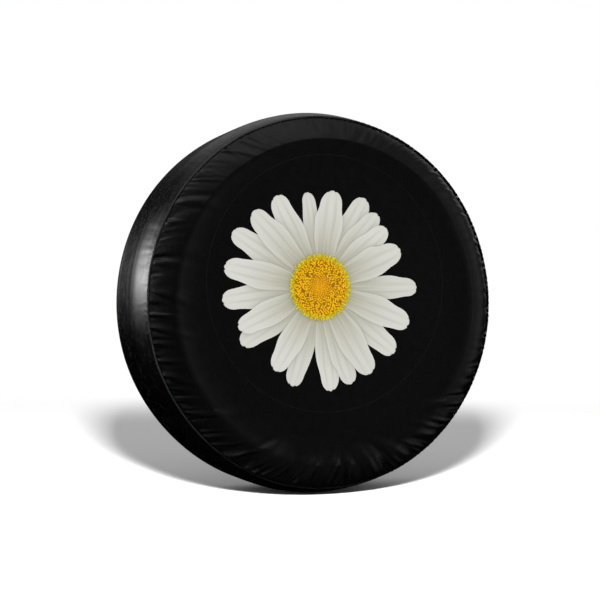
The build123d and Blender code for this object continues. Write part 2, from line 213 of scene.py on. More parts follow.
class Cloth:
    """A sewn sheet turned about the axle: rings along its section, and spokes round the axle."""

    def __init__(self, section, outward, spokes=SPOKES):
        self.section = section
        steps = np.linalg.norm(np.diff(section, axis=0), axis=1)
        self.reach = np.concatenate([[0], np.cumsum(steps)])
        self.theta = np.arange(spokes) * TAU / spokes
        slope = np.gradient(section, self.reach, axis=0)
        slope /= np.linalg.norm(slope, axis=1)[:, None]
        self.facing = outward * np.stack([slope[:, 1], -slope[:, 0]], 1)
        self.outward = outward

    def place(self, rise, shift=0.0):
        """Puts the outer surface where its folds lift it, and shifts it along the axle."""
        radius = self.section[:, :1] + self.facing[:, :1] * rise
        y = self.section[:, 1:] + self.facing[:, 1:] * rise
        cos, sin = np.cos(self.theta), np.sin(self.theta)
        self.rise = rise
        self.points = settle(np.stack([radius * cos, y + shift + 0 * cos, radius * sin], -1))
        round_axle = np.roll(self.points, -1, 1) - np.roll(self.points, 1, 1)
        along = np.gradient(self.points, axis=0)
        normal = np.cross(round_axle, along) * -self.outward
        self.normals = normal / np.maximum(np.linalg.norm(normal, axis=-1), 1e-12)[..., None]
        return self

    def at(self, theta, reach, lift=0.0):
        """Points and normals at angles round the axle and distances along the section."""
        theta, reach = np.broadcast_arrays(np.asarray(theta, float), np.asarray(reach, float))
        row = np.interp(reach, self.reach, np.arange(len(self.reach)))
        low = np.minimum(row.astype(int), len(self.reach) - 2)
        column = (theta % TAU) / TAU * len(self.theta)
        left = column.astype(int) % len(self.theta)
        right = (left + 1) % len(self.theta)
        down, over = (row - low)[..., None], (column - np.floor(column))[..., None]
        found = []
        for grid in (self.points, self.normals):
            near = grid[low, left] * (1 - over) + grid[low, right] * over
            far = grid[low + 1, left] * (1 - over) + grid[low + 1, right] * over
            found.append(near * (1 - down) + far * down)
        return found[0] + found[1] * lift, found[1]


# ---------------------------------------------------------------- meshes

def build(name, points, faces, materials, inner_from=None, uvs=None):
    """A smooth-shaded object from arrays; faces from inner_from onwards take the second material."""
    mesh = bpy.data.meshes.new(name)
    mesh.from_pydata(np.asarray(points, float).reshape(-1, 3).tolist(), [], [list(f) for f in faces])
    mesh.polygons.foreach_set("use_smooth", [True] * len(mesh.polygons))
    for material in materials:
        mesh.materials.append(material)
    if inner_from is not None:
        slots = np.zeros(len(mesh.polygons), np.int32)
        slots[inner_from:] = 1
        mesh.polygons.foreach_set("material_index", slots)
    if uvs is not None:
        layer = mesh.uv_layers.new(name="cloth")
        layer.data.foreach_set("uv", np.asarray(uvs, np.float32).ravel())
    mesh.update()
    made = bpy.data.objects.new(name, mesh)
    bpy.context.scene.collection.objects.link(made)
    return made


def spread(made, name, values):
    """Stores one number per vertex, for the materials to read."""
    values = np.asarray(values, np.float32).ravel()
    made.data.attributes.new(name, "FLOAT", "POINT").data.foreach_set("value", values)


def paint(made, colours):
    """Stores one colour per vertex, for the materials to read."""
    colours = np.asarray(colours, np.float32).reshape(-1, 3)
    rgba = np.concatenate([colours, np.ones((len(colours), 1), np.float32)], 1)
    made.data.attributes.new("tint", "FLOAT_COLOR", "POINT").data.foreach_set("color", rgba.ravel())


def quads_between(rings, spokes, wrap=True, offset=0):
    """Faces of a grid of rings by spokes."""
    ring = np.arange(rings - 1)[:, None] * spokes
    spoke = np.arange(spokes if wrap else spokes - 1)[None, :]
    after = (spoke + 1) % spokes
    faces = np.stack([ring + spoke, ring + after, ring + after + spokes, ring + spoke + spokes], -1)
    return faces.reshape(-1, 4) + offset


def loop_quads(rings, spokes):
    """Faces of a grid whose last ring joins its first."""
    return quads_between(rings + 1, spokes) % (rings * spokes)


def capped_tube(rings, sides):
    """Faces of a tube of rings with both its ends closed."""
    ends = np.arange(sides)[::-1], (rings - 1) * sides + np.arange(sides)
    return quads_between(rings, sides).tolist() + [end.tolist() for end in ends]


def wall(start, end, below):
    """Faces from edges on one side of a sheet to the other side, whose vertices come that many later."""
    return np.stack([start, end, end + below, start + below], 1)


def shell(name, cloth, thickness, materials, pole=False):
    """A closed skin of cloth: its outer surface, its inner surface and the edges between them."""
    outer = cloth.points
    inner = outer - cloth.normals * thickness
    rings, spokes, _ = outer.shape
    count = rings * spokes
    outside = quads_between(rings, spokes)
    inside = quads_between(rings, spokes, offset=count)[:, ::-1]
    spoke = np.arange(spokes)
    after = (spoke + 1) % spokes
    last = (rings - 1) * spokes
    points = [outer.reshape(-1, 3), inner.reshape(-1, 3)]
    coated = outside.tolist() + wall(after, spoke, count).tolist()
    if pole:
        points += [outer[-1].mean(0)[None], inner[-1].mean(0)[None]]
        hub = 2 * count
        coated += np.stack([last + spoke, last + after, np.full(spokes, hub)], 1).tolist()
        rest = np.stack([last + after + count, last + spoke + count, np.full(spokes, hub + 1)], 1)
    else:
        rest = wall(last + spoke, last + after, count)
    faces = coated + inside.tolist() + rest.tolist()
    if cloth.outward > 0:
        faces = [f[::-1] for f in faces]
    made = build(name, np.vstack(points), faces, materials, len(coated), grid_uvs(cloth, faces))
    ridge = ridge_of(cloth.rise).ravel()
    spread(made, "ridge", np.concatenate([ridge, ridge * 0, np.zeros(2 if pole else 0)]))
    return made


def ridge_of(rise):
    """How far folds stand out, in millimetres, for the cloth's finish to read."""
    return np.clip(rise / MM, -3, 3)


def grid_uvs(cloth, faces):
    """Cloth coordinates for each face corner: distance round the tread, and distance along the section."""
    spokes = len(cloth.theta)
    around = np.tile(cloth.theta, len(cloth.reach)) * TREAD_RADIUS
    along = np.repeat(cloth.reach, spokes)
    around = np.concatenate([around, around, [0, 0]])
    along = np.concatenate([along, along, [cloth.reach[-1]] * 2])
    lap = TAU * TREAD_RADIUS
    sizes = np.array([len(face) for face in faces])
    corners = np.fromiter((v for face in faces for v in face), int, sizes.sum())
    starts = np.concatenate([[0], np.cumsum(sizes)[:-1]])
    u = around[corners]
    wide = np.maximum.reduceat(u, starts) - np.minimum.reduceat(u, starts) > lap / 2
    u = np.where(np.repeat(wide, sizes) & (u < lap / 2), u + lap, u)
    return np.stack([u, along[corners]], 1)


def strip(name, cloth, angles, reaches, low, high, materials):
    """A thin closed ribbon on a cloth: a grid of angles by reaches, from low to high above its surface."""
    theta, reach = np.meshgrid(angles, reaches)
    wraps = abs((angles[-1] - angles[0]) % TAU - (TAU - abs(angles[1] - angles[0]))) < 1e-6
    top, normals = cloth.at(theta, reach, high)
    bottom = top - normals * (high - low)
    rows, columns = theta.shape
    count = rows * columns
    spoke = np.arange(columns if wraps else columns - 1)
    after = (spoke + 1) % columns
    last = (rows - 1) * columns
    faces = [quads_between(rows, columns, wraps), quads_between(rows, columns, wraps, count)[:, ::-1]]
    faces += [wall(after, spoke, count), wall(last + spoke, last + after, count)]
    if not wraps:
        ring = np.arange(rows - 1) * columns
        end = ring + columns - 1
        faces += [wall(ring, ring + columns, count), wall(end + columns, end, count)]
    faces = np.concatenate(faces)
    if cloth.outward > 0:
        faces = faces[:, ::-1]
    uv = np.tile(np.stack([theta * TREAD_RADIUS, reach], -1).reshape(-1, 2), (2, 1))
    made = build(name, np.stack([top, bottom]), faces.tolist(), materials, uvs=uv[faces.ravel()])
    spread(made, "ridge", np.zeros(2 * count))
    return made


def stitches(name, cloth, theta, reach, length, radius, turn=0.0, lift=0.0):
    """A row of separate raised stitches lying on a cloth; turn tips each one across the row."""
    theta, reach = np.broadcast_arrays(np.asarray(theta, float), np.asarray(reach, float))
    centre, normal = cloth.at(theta, reach, lift)
    ahead, _ = cloth.at(theta + 0.002, reach, lift)
    along = ahead - centre
    along /= np.linalg.norm(along, axis=1)[:, None]
    side = np.cross(normal, along)
    across = side / np.linalg.norm(side, axis=1)[:, None]
    if turn:
        cos, sin = math.cos(turn), math.sin(turn)
        along, across = along * cos + across * sin, across * cos - along * sin
    sides, rings = 6, 7
    place = np.linspace(-1, 1, rings)
    girth = np.sqrt(np.maximum(1 - place ** 4, 0.04))
    arch = (1 - place ** 2) * radius * 0.7 - radius * 0.35
    angle = np.arange(sides) * TAU / sides
    a = np.repeat(place * length / 2, sides)
    b = (girth[:, None] * np.cos(angle) * radius).ravel()
    c = (arch[:, None] + girth[:, None] * np.sin(angle) * radius * 0.8).ravel()
    points = centre[:, None]
    for direction, size in ((along, a), (across, b), (normal, c)):
        points = points + direction[:, None] * size[:, None]
    one = capped_tube(rings, sides)
    faces = [[v + k * rings * sides for v in face] for k in range(len(centre)) for face in one]
    return build(name, points, faces, [THREAD])


# ---------------------------------------------------------------- materials

class Finish:
    """A node material built up from its Principled shader."""

    def __init__(self, name, colour, roughness, **settings):
        self.material = bpy.data.materials.new(name)
        self.material.use_nodes = True
        self.tree = self.material.node_tree
        self.shader = self.tree.nodes["Principled BSDF"]
        self.shader.inputs["Base Color"].default_value = (*colour, 1)
        self.shader.inputs["Roughness"].default_value = roughness
        for socket, value in settings.items():
            self.shader.inputs[socket.replace("_", " ")].default_value = value
        self.normal = None

    def node(self, kind, inputs=None, **settings):
        """Adds a node; an input is a number, a colour or another node's output."""
        made = self.tree.nodes.new("ShaderNode" + kind)
        for key, value in settings.items():
            setattr(made, key, value)
        for key, value in (inputs or {}).items():
            if isinstance(value, bpy.types.NodeSocket):
                self.tree.links.new(value, made.inputs[key])
            else:
                made.inputs[key].default_value = value
        return made

    def math(self, operation, first, second=0.0):
        """One step of arithmetic."""
        return self.node("Math", {0: first, 1: second}, operation=operation).outputs[0]

    def ramp(self, value, low, high, to_low=0.0, to_high=1.0):
        """Carries value from one range to another, with soft ends."""
        inputs = {"Value": value, "From Min": low, "From Max": high, "To Min": to_low, "To Max": to_high}
        return self.node("MapRange", inputs, interpolation_type="SMOOTHSTEP").outputs["Result"]

    def attribute(self, name, output="Fac"):
        """A value stored on the mesh."""
        return self.node("Attribute", attribute_name=name).outputs[output]

    def place(self, scale=(1, 1, 1), source="Object"):
        """Coordinates on the piece, in metres, stretched by scale."""
        coordinates = self.node("TexCoord").outputs[source]
        return self.node("Mapping", {"Vector": coordinates, "Scale": scale}).outputs["Vector"]

    def noise(self, scale, detail=2.0, rough=0.5, stretch=(1, 1, 1), vector=None):
        """Soft random values round one half, on the piece itself unless a vector is given."""
        inputs = {"Scale": scale, "Detail": detail, "Roughness": rough}
        inputs["Vector"] = self.place(stretch) if vector is None else vector
        return self.node("TexNoise", inputs).outputs["Fac"]

    def mix(self, share, first, second):
        """Mixes two colours."""
        made = self.node("Mix", data_type="RGBA")
        for socket, value in ((0, share), (6, first), (7, second)):
            if isinstance(value, bpy.types.NodeSocket):
                self.tree.links.new(value, made.inputs[socket])
            else:
                made.inputs[socket].default_value = value if socket == 0 else (*value, 1)
        return made.outputs[2]

    def bump(self, height, distance, strength=1.0):
        """Raises the surface by a height pattern, on top of what came before."""
        inputs = {"Height": height, "Distance": distance, "Strength": strength}
        if self.normal is not None:
            inputs["Normal"] = self.normal
        self.normal = self.node("Bump", inputs).outputs["Normal"]
        self.tree.links.new(self.normal, self.shader.inputs["Normal"])

    def feed(self, socket, value):
        """Drives one of the shader's inputs."""
        self.tree.links.new(value, self.shader.inputs[socket])

    def colour(self, share, first, second):
        """Colours the surface between two colours."""
        self.feed("Base Color", self.mix(share, first, second))


def plain_weave(finish, pitch, source="UV"):
    """Height of a plain weave with threads a pitch apart."""
    vector = finish.place(source=source)
    scale = TAU / (20 * pitch)
    warp = finish.node("TexWave", {"Vector": vector, "Scale": scale}, bands_direction="X").outputs["Fac"]
    weft = finish.node("TexWave", {"Vector": vector, "Scale": scale}, bands_direction="Y").outputs["Fac"]
    return finish.math("MULTIPLY", warp, weft)


def coated_cloth(name, tone, gloss, crumple, wear_and_highlight=1.9, shine=0.5):
    """Black polyester with a smooth satin coating: faint weave, soft crumples and rubbed folds, and on the
    welt a painted highlight.
    """
    finish = Finish(name, tone, gloss, Specular_IOR_Level=shine)
    # Paler where the stored values are high: rubbed wear on the fold ridges, and a painted highlight where
    # the welt stores its values.
    ridge = finish.ramp(finish.attribute("ridge"), -0.8, 1.6)
    blotch = finish.noise(22, 3)
    finish.colour(finish.math("MULTIPLY", ridge, blotch), tone, tuple(c * wear_and_highlight for c in tone))
    rub = finish.noise(60, 4, 0.6)
    finish.feed("Roughness", finish.ramp(rub, 0.25, 0.75, gloss - 0.05, gloss + 0.07))
    finish.bump(finish.noise(13, 3, 0.45), crumple)
    finish.bump(finish.noise(180, 2), 0.003 * MM)
    finish.bump(plain_weave(finish, 0.9 * MM), 0.0025 * MM)
    return finish.material


def backing_cloth():
    """The uncoated inner side of the cloth: dull charcoal weave."""
    finish = Finish("cloth_backing", (0.022, 0.022, 0.024), 0.85, Sheen_Weight=0.15)
    patch = finish.noise(35, 4)
    finish.colour(patch, (0.016, 0.016, 0.018), (0.034, 0.034, 0.036))
    finish.bump(finish.noise(15, 3), 0.6 * MM)
    finish.bump(plain_weave(finish, 1.1 * MM), 0.12 * MM)
    return finish.material


def petal_ink():
    """Printed petals: warm white, olive grey towards the disc, with two long grooves and fine veins."""
    finish = Finish("petal_ink", (0.8, 0.8, 0.76), 0.42, Specular_IOR_Level=0.35)
    along, across, tone, shade = (finish.attribute(name) for name in ("along", "across", "tone", "shade"))
    grooves = None
    for place, width in ((-0.36, 0.17), (0.30, 0.17)):
        off = finish.math("ABSOLUTE", finish.math("SUBTRACT", across, place))
        groove = finish.ramp(off, 0.0, width, 1.0, 0.0)
        grooves = groove if grooves is None else finish.math("MAXIMUM", grooves, groove)
    streaks = {"X": finish.math("MULTIPLY", across, 11.0), "Y": along, "Z": tone}
    veins = finish.noise(1.0, 3, 0.6, vector=finish.node("CombineXYZ", streaks).outputs[0])
    edge = finish.ramp(finish.math("ABSOLUTE", across), 0.72, 1.0)
    base = finish.mix(finish.ramp(along, 0.0, 0.85), (0.42, 0.41, 0.27), (0.70, 0.694, 0.645))
    base = finish.mix(finish.ramp(tone, 0.0, 1.0, 0.0, 0.7), base, (0.48, 0.47, 0.37))
    deep = finish.math("MULTIPLY", grooves, finish.ramp(along, 0.75, 1.0, 0.40, 0.10))
    base = finish.mix(deep, base, (0.42, 0.42, 0.36))
    base = finish.mix(finish.ramp(veins, 0.35, 0.75, 0.0, 0.45), base, (0.75, 0.745, 0.705))
    base = finish.mix(finish.math("MULTIPLY", edge, 0.35), base, (0.78, 0.775, 0.735))
    base = finish.mix(shade, base, (0.28, 0.28, 0.22))
    finish.feed("Base Color", base)
    finish.bump(grooves, 0.12 * MM, 0.6)
    finish.bump(veins, 0.06 * MM, 0.5)
    return finish.material


def floret_ink():
    """Printed florets, coloured by what is stored on the mesh."""
    finish = Finish("floret_ink", (0.86, 0.5, 0.03), 0.6, Specular_IOR_Level=0.08)
    tint = finish.attribute("tint", "Color")
    speck = finish.noise(700, 3)
    finish.colour(finish.ramp(speck, 0.3, 0.8, 0.0, 0.25), tint, (0.85, 0.42, 0.004))
    finish.bump(speck, 0.06 * MM)
    return finish.material


def sewing_thread():
    """Bonded black thread with its twist."""
    finish = Finish("sewing_thread", (0.02, 0.02, 0.021), 0.36)
    twist = finish.noise(2600, 2)
    finish.colour(twist, (0.010, 0.010, 0.011), (0.030, 0.030, 0.031))
    finish.bump(twist, 0.1 * MM)
    return finish.material


def binding_tape():
    """Ribbed woven tape."""
    finish = Finish("binding_tape", (0.02, 0.02, 0.021), 0.8, Sheen_Weight=0.2)
    rib = finish.noise(90, 2, stretch=(1, 14, 1))
    finish.colour(rib, (0.013, 0.013, 0.014), (0.036, 0.036, 0.038))
    finish.bump(rib, 0.2 * MM)
    finish.bump(finish.noise(900, 2), 0.1 * MM)
    return finish.material


def braided_cover():
    """Braided textile cover of the elastic: strands that cross two ways."""
    finish = Finish("braided_cover", (0.02, 0.02, 0.021), 0.7, Sheen_Weight=0.25)
    strands = []
    for hand in (1, -1):
        vector = finish.place((hand, hand, 0.6))
        inputs = {"Vector": vector, "Scale": 150}
        strands.append(finish.node("TexWave", inputs, bands_direction="DIAGONAL").outputs["Fac"])
    crown = finish.math("MAXIMUM", *strands)
    finish.colour(crown, (0.006, 0.006, 0.006), (0.035, 0.035, 0.037))
    finish.bump(crown, 0.3 * MM)
    finish.bump(finish.noise(3000, 2), 0.08 * MM)
    return finish.material


def moulded_plastic(name, tone):
    """Moulded black acetal with a fine spark texture, paler on its worn edges."""
    finish = Finish(name, (tone,) * 3, 0.42)
    worn = finish.ramp(finish.node("NewGeometry").outputs["Pointiness"], 0.52, 0.62)
    grain = finish.noise(1800, 2)
    finish.colour(worn, (tone,) * 3, (tone * 2.6,) * 3)
    finish.feed("Roughness", finish.ramp(grain, 0.3, 0.7, 0.36, 0.52))
    finish.bump(grain, 0.03 * MM)
    return finish.material


def dark_metal():
    """Blackened nickel of the eyelets, with fine turning marks and bright rubbed rims."""
    finish = Finish("dark_metal", (0.2, 0.2, 0.21), 0.3, Metallic=1.0)
    worn = finish.ramp(finish.node("NewGeometry").outputs["Pointiness"], 0.51, 0.6)
    marks = finish.noise(700, 3, stretch=(1, 6, 1))
    finish.colour(worn, (0.13, 0.13, 0.14), (0.5, 0.5, 0.5))
    finish.feed("Roughness", finish.ramp(marks, 0.3, 0.7, 0.24, 0.42))
    finish.bump(marks, 0.02 * MM)
    return finish.material


def spring_wire():
    """Bright drawn wire."""
    finish = Finish("spring_wire", (0.6, 0.6, 0.62), 0.28, Metallic=1.0)
    marks = finish.noise(900, 2, stretch=(8, 1, 1))
    finish.feed("Roughness", finish.ramp(marks, 0.3, 0.7, 0.2, 0.38))
    finish.colour(marks, (0.5, 0.5, 0.52), (0.68, 0.68, 0.7))
    return finish.material


def satin_ribbon():
    """Blank white label ribbon with a selvedge."""
    finish = Finish("satin_ribbon", (0.62, 0.62, 0.6), 0.5, Sheen_Weight=0.2)
    thread = finish.noise(160, 2, stretch=(1, 1, 14))
    finish.colour(thread, (0.5, 0.5, 0.48), (0.7, 0.7, 0.68))
    finish.bump(thread, 0.08 * MM)
    finish.bump(plain_weave(finish, 0.5 * MM), 0.05 * MM)
    return finish.material


COAT = (0.0010, 0.0010, 0.0011)
FACE_COAT = coated_cloth("face_coating", COAT, 0.27, 0.3 * MM)
BAND_COAT = coated_cloth("band_coating", COAT, 0.23, 0.3 * MM)
BACK_COAT = coated_cloth("back_coating", COAT, 0.38, 0.6 * MM)
# The welt's paler mix, up to fourteen times its tone, is a painted highlight round its top and left.
WELT_COAT = coated_cloth("welt_coating", (0.004, 0.004, 0.0042), 0.15, 0.3 * MM, wear_and_highlight=14.0, shine=0.22)
BACKING = backing_cloth()
PETAL_INK = petal_ink()
FLORET_INK = floret_ink()
THREAD = sewing_thread()
TAPE = binding_tape()
BRAID = braided_cover()
PLASTIC = moulded_plastic("lock_plastic", 0.012)
BUTTON_PLASTIC = moulded_plastic("button_plastic", 0.02)
DARK_METAL = dark_metal()
WIRE = spring_wire()
RIBBON = satin_ribbon()


def keep(node, material):
    """A CAD piece that shows as it is, with a better material."""
    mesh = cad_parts[node].data
    mesh.materials.clear()
    mesh.materials.append(material)


def sew_on(piece, slot, *nodes):
    """A piece of the cover that stands for CAD nodes."""
    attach(piece, "cover")
    if nodes:
        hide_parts(*nodes)
    return piece


# ---------------------------------------------------------------- sewn shells

def bowed(first, last, turn, step):
    """Section points along an arc from first to last that turns by some degrees, bowed to its left."""
    first, last = np.array(first), np.array(last)
    chord = last - first
    length = np.linalg.norm(chord)
    half = math.radians(turn) / 2
    radius = length / 2 / math.sin(half)
    count = max(2, math.ceil(2 * half * radius / step))
    swing = np.linspace(-half, half, count + 1)[:, None]
    ahead, side = chord / length, np.array([chord[1], -chord[0]]) / length
    middle = (first + last) / 2 - side * radius * math.cos(half)
    return middle + side * radius * np.cos(swing) + ahead * radius * np.sin(swing)


def side_slope(crest_y):
    """Slope in degrees of the straight line from a seam to its side's crest."""
    return math.degrees(math.atan2(crest_y - SEAM_Y, SEAM_RADIUS - CREST_RADIUS))


def face_section():
    """From the seam up the bevel, over the crest and down the dish to the middle."""
    slope = math.degrees(2 * math.atan(DISH_DEPTH / (DISH_TURN_OUT + DISH_TURN_IN)))
    concave = DISH_TURN_IN / math.sin(math.radians(slope))
    flat_radius = CREST_RADIUS - DISH_TURN_OUT - DISH_TURN_IN
    flat_y = -FACE_Y
    centre = flat_y + concave
    crest_y = FACE_CREST_Y + CREST_PROUD
    leaving = side_slope(crest_y) - BEVEL_TURN / 2
    turn = np.radians([leaving, slope])
    before, after = CREST_TURN_RADIUS * np.sin(turn)
    crest = crest_y - CREST_TURN_RADIUS
    top = crest_y - CREST_TURN_RADIUS * (1 - np.cos(turn))
    foot = flat_y + concave * (1 - np.cos(turn[1]))
    return mirrored(chain(
        bowed((SEAM_RADIUS, SEAM_Y), (CREST_RADIUS + before, top[0]), BEVEL_TURN, 1.6 * MM),
        arc((CREST_RADIUS, crest), CREST_TURN_RADIUS, 90 - leaving, 90 + slope, 1.0 * MM),
        line((CREST_RADIUS - after, top[1]), (flat_radius + DISH_TURN_IN, foot), 2.5 * MM),
        arc((flat_radius, centre), concave, 270 + slope, 270, 4 * MM),
        line((flat_radius, flat_y), (6 * MM, flat_y), 26 * MM),
    ))


def shoulder(flat_edge):
    """(centre, radius, angle at the seam) of the arc from the tread's flat down to a seam."""
    drop, run = TREAD_RADIUS - SEAM_RADIUS, SEAM_Y - flat_edge
    radius = (drop ** 2 + run ** 2) / (2 * drop)
    return (TREAD_RADIUS - radius, flat_edge), radius, math.degrees(math.asin(run / radius))


def band_section():
    """From the front seam across the tread to the rear seam; it rounds off more softly at the front."""
    front, front_radius, front_angle = shoulder(BAND_FLAT_FRONT)
    rear, rear_radius, rear_angle = shoulder(BAND_FLAT_REAR)
    return chain(
        mirrored(arc(front, front_radius, front_angle, 0, 2 * MM)),
        line((TREAD_RADIUS, -BAND_FLAT_FRONT), (TREAD_RADIUS, BAND_FLAT_REAR), 3 * MM),
        arc(rear, rear_radius, 0, rear_angle, 2 * MM),
    )


def back_section():
    """From the rear seam over the rear crest and in to the hem."""
    slope = side_slope(BACK_CREST_Y)
    curve = bowed((SEAM_RADIUS, SEAM_Y), (CREST_RADIUS, BACK_CREST_Y), 2 * slope + BACK_PANEL_SLOPE, 2 * MM)
    drop = (CREST_RADIUS - HEM_OUTER_RADIUS) * math.tan(math.radians(BACK_PANEL_SLOPE))
    return chain(curve, line(curve[-1], (HEM_OUTER_RADIUS - MM, BACK_CREST_Y - drop), 2.2 * MM))


def hem_section():
    """All the way round the hem's tunnel, from the middle of its outer side."""
    corner = 3.2 * MM
    middle_y = (HEM_FRONT_Y + HEM_BACK_Y) / 2
    out, into = HEM_OUTER_RADIUS - corner, HEM_INNER_RADIUS + corner
    back, front = HEM_BACK_Y - corner, HEM_FRONT_Y + corner
    step = 1.2 * MM
    return chain(
        line((HEM_OUTER_RADIUS, middle_y), (HEM_OUTER_RADIUS, back), step),
        arc((out, back), corner, 0, 90, step),
        line((out, HEM_BACK_Y), (into, HEM_BACK_Y), step),
        arc((into, back), corner, 90, 180, step),
        line((HEM_INNER_RADIUS, back), (HEM_INNER_RADIUS, front), step),
        arc((into, front), corner, 180, 270, step),
        line((into, HEM_FRONT_Y), (out, HEM_FRONT_Y), step),
        arc((out, front), corner, 270, 360, step),
        line((HEM_OUTER_RADIUS, front), (HEM_OUTER_RADIUS, middle_y), step),
    )


def by_angle(stops):
    """A strength that changes smoothly round the axle, from (degrees, strength) pairs."""
    angles, values = np.array(stops + [(stops[0][0] + 360.0, stops[0][1])], float).T
    return lambda theta: float(np.interp((math.degrees(theta) - angles[0]) % 360 + angles[0], angles, values))


# The face's gathers are strongest low on the left, strong along the bottom, and faint at the top.
FACE_GATHERS = by_angle([(-180, 0.62), (-150, 1.1), (-125, 1.5), (-95, 0.95), (-60, 0.95), (-30, 0.9),
                         (-5, 0.4), (40, 0.25), (60, 0.38), (80, 0.12), (110, 0.08), (130, 0.3), (155, 0.42)])

# Slack cloth lets the crest lie lower on the right: it averages the section over a width, except at the seam.
CREST_SAG = by_angle([(-180, 0), (-75, 0), (-35, 1), (30, 1), (70, 0.2), (110, 0)])
SLACK_WIDTH, SLACK_FADE = 28 * MM, 42 * MM

# The welt's colour is painted paler round the top and down the left: a painted highlight where it would catch
# the light.
WELT_PAINTED_HIGHLIGHT = by_angle([(-180, 1.6), (-160, 1.2), (-140, 0.2), (-115, -0.8), (-10, -0.8), (50, -0.6), (80, 0.4),
                      (105, 1.6), (150, 1.6)])


def slack_depth(section):
    """How far slack cloth sinks below a section, where it averages the section's profile."""
    radius, y = section.T
    weight = np.exp(-((radius[:, None] - radius[None]) / SLACK_WIDTH) ** 2) * np.abs(np.gradient(radius))
    sunk = (weight * (y[None] - y[:, None])).sum(1) / weight.sum(1)
    return sunk * smooth((SEAM_RADIUS - radius) / SLACK_FADE)


def level_lean(theta):
    """Folds on the face lean from straight inwards towards level."""
    sideways = abs(math.cos(theta))
    return 1.4 * math.copysign(math.sin(theta), math.cos(theta) * math.sin(theta)) * sideways


# Each layer of folds gives its seed, count, and ranges of length, width and height.
def face_cloth():
    """The front panel: short gathers and long folds at the seam, and a crest that is slack on the right."""
    cloth = Cloth(face_section(), -1)
    short = (0.02, 0.07), (2.2 * MM, 5.5 * MM), (0.9 * MM, 3.6 * MM)
    long = (0.05, 0.13), (4.5 * MM, 12 * MM), (1.5 * MM, 5.6 * MM)
    rise = pleats(11, cloth, 280, *short, FACE_GATHERS, level_lean)
    rise += pleats(12, cloth, 100, *long, FACE_GATHERS, level_lean)
    rise += ripples(13, cloth, 60, (0.03, 0.09), (6 * MM, 12 * MM), (0.05 * MM, 0.25 * MM))
    rise *= smooth((cloth.section[:, :1] - FOLDS_FROM) / FOLDS_FADE)
    sag = np.array([CREST_SAG(theta) for theta in cloth.theta])
    rise -= sag * slack_depth(cloth.section)[:, None]
    return cloth.place(rise)


def band_cloth():
    """The strip round the tread: creases that run round it, and small folds at both seams."""
    cloth = Cloth(band_section(), 1)

    def upper(theta):
        return 0.05 + 0.95 * smooth(0.5 + 1.5 * math.sin(theta))

    def near_seams(theta, row):
        edge = min(row, cloth.reach[-1] - row)
        return (0.3 + math.exp(-edge / 0.035)) * upper(theta)

    rise = ripples(21, cloth, 240, (0.04, 0.18), (3 * MM, 7 * MM), (0.08 * MM, 0.34 * MM), near_seams)
    rise += ripples(22, cloth, 40, (0.08, 0.30), (7 * MM, 16 * MM), (0.2 * MM, 0.7 * MM))
    rise += pleats(23, cloth, 240, (0.008, 0.022), (1.6 * MM, 3 * MM), (0.1 * MM, 0.45 * MM), FACE_GATHERS)
    back = Cloth(mirrored(cloth.section[::-1]), 1)
    rise += pleats(24, back, 260, (0.01, 0.03), (2 * MM, 4 * MM), (0.1 * MM, 0.4 * MM), upper)[::-1]
    rise += pleats(25, cloth, 170, (0.03, 0.11), (2.5 * MM, 6 * MM), (0.05 * MM, 0.24 * MM), upper)
    edge = np.minimum(cloth.reach, cloth.reach[-1] - cloth.reach)[:, None]
    return cloth.place(rise * smooth(edge / 0.004 + 0.25))


def gathers(theta):
    """Height of the hem's gathers round the opening, level where the eyelets are."""
    rng = np.random.default_rng(31)
    count = 62
    total = np.zeros_like(theta)
    for k in range(count):
        centre = TAU * (k + rng.uniform(-0.33, 0.33)) / count
        wide = rng.uniform(0.55, 1.0) * TAU / count * 0.36
        total += rng.uniform(0.45, 1.0) * np.exp(-(turn_between(theta, centre) / wide) ** 2)
    fine = waves(33, theta, (97, 118, 131, 149, 163), 0.16)
    return (total - 0.42 + fine) * clear_of_eyelets(theta)


def back_cloth():
    """The rear panel: gathers that deepen towards the hem, and small folds from the seam and from the hem."""
    cloth = Cloth(back_section(), 1)
    inward = (cloth.reach / cloth.reach[-1])[:, None]
    deep = smooth((inward - 0.25) / 0.75) ** 1.3 * GATHER_HEIGHT
    rise = gathers(cloth.theta)[None] * deep
    rise += pleats(34, cloth, 240, (0.012, 0.04), (2 * MM, 4.5 * MM), (0.3 * MM, 1.1 * MM))
    from_hem = Cloth(cloth.section[::-1], -1)
    rise += pleats(35, from_hem, 90, (0.03, 0.085), (2.5 * MM, 6 * MM), (0.6 * MM, 2.0 * MM))[::-1]
    return cloth.place(rise)


def hem_cloth():
    """The hem's tunnel: puffed between its gathers, and lifted with the rear panel's at its outer side."""
    cloth = Cloth(hem_section(), 1)
    lift = smooth((cloth.section[:, :1] - HEM_INNER_RADIUS + 0.012) / 0.032)
    puff = waves(36, cloth.theta, (61, 74, 97, 118, 131, 163), 0.7 * MM) * clear_of_eyelets(cloth.theta)
    rise = np.tile(puff, (len(cloth.reach), 1))
    return cloth.place(rise, gathers(cloth.theta)[None] * GATHER_HEIGHT * lift)


def ring_tube(name, centre, girth, sides, material):
    """A round welt that runs all the way round the axle."""
    theta = np.arange(SPOKES) * TAU / SPOKES
    angle = (np.arange(sides) * TAU / sides)[:, None]
    radius = centre[0] + girth * np.cos(angle)
    y = centre[1] + girth * np.sin(angle)
    points = settle(np.stack([radius * np.cos(theta), y + 0 * theta, radius * np.sin(theta)], -1))
    made = build(name, points, loop_quads(sides, SPOKES)[:, ::-1].tolist(), [material])
    # The welt's painted highlight, stored by angle round the axle, for its coating to make paler.
    spread(made, "ridge", np.tile([WELT_PAINTED_HIGHLIGHT(turn) for turn in theta], sides))
    return made


FACE, BAND, BACK, HEM = face_cloth(), band_cloth(), back_cloth(), hem_cloth()
BAND_LENGTH = BAND.reach[-1]

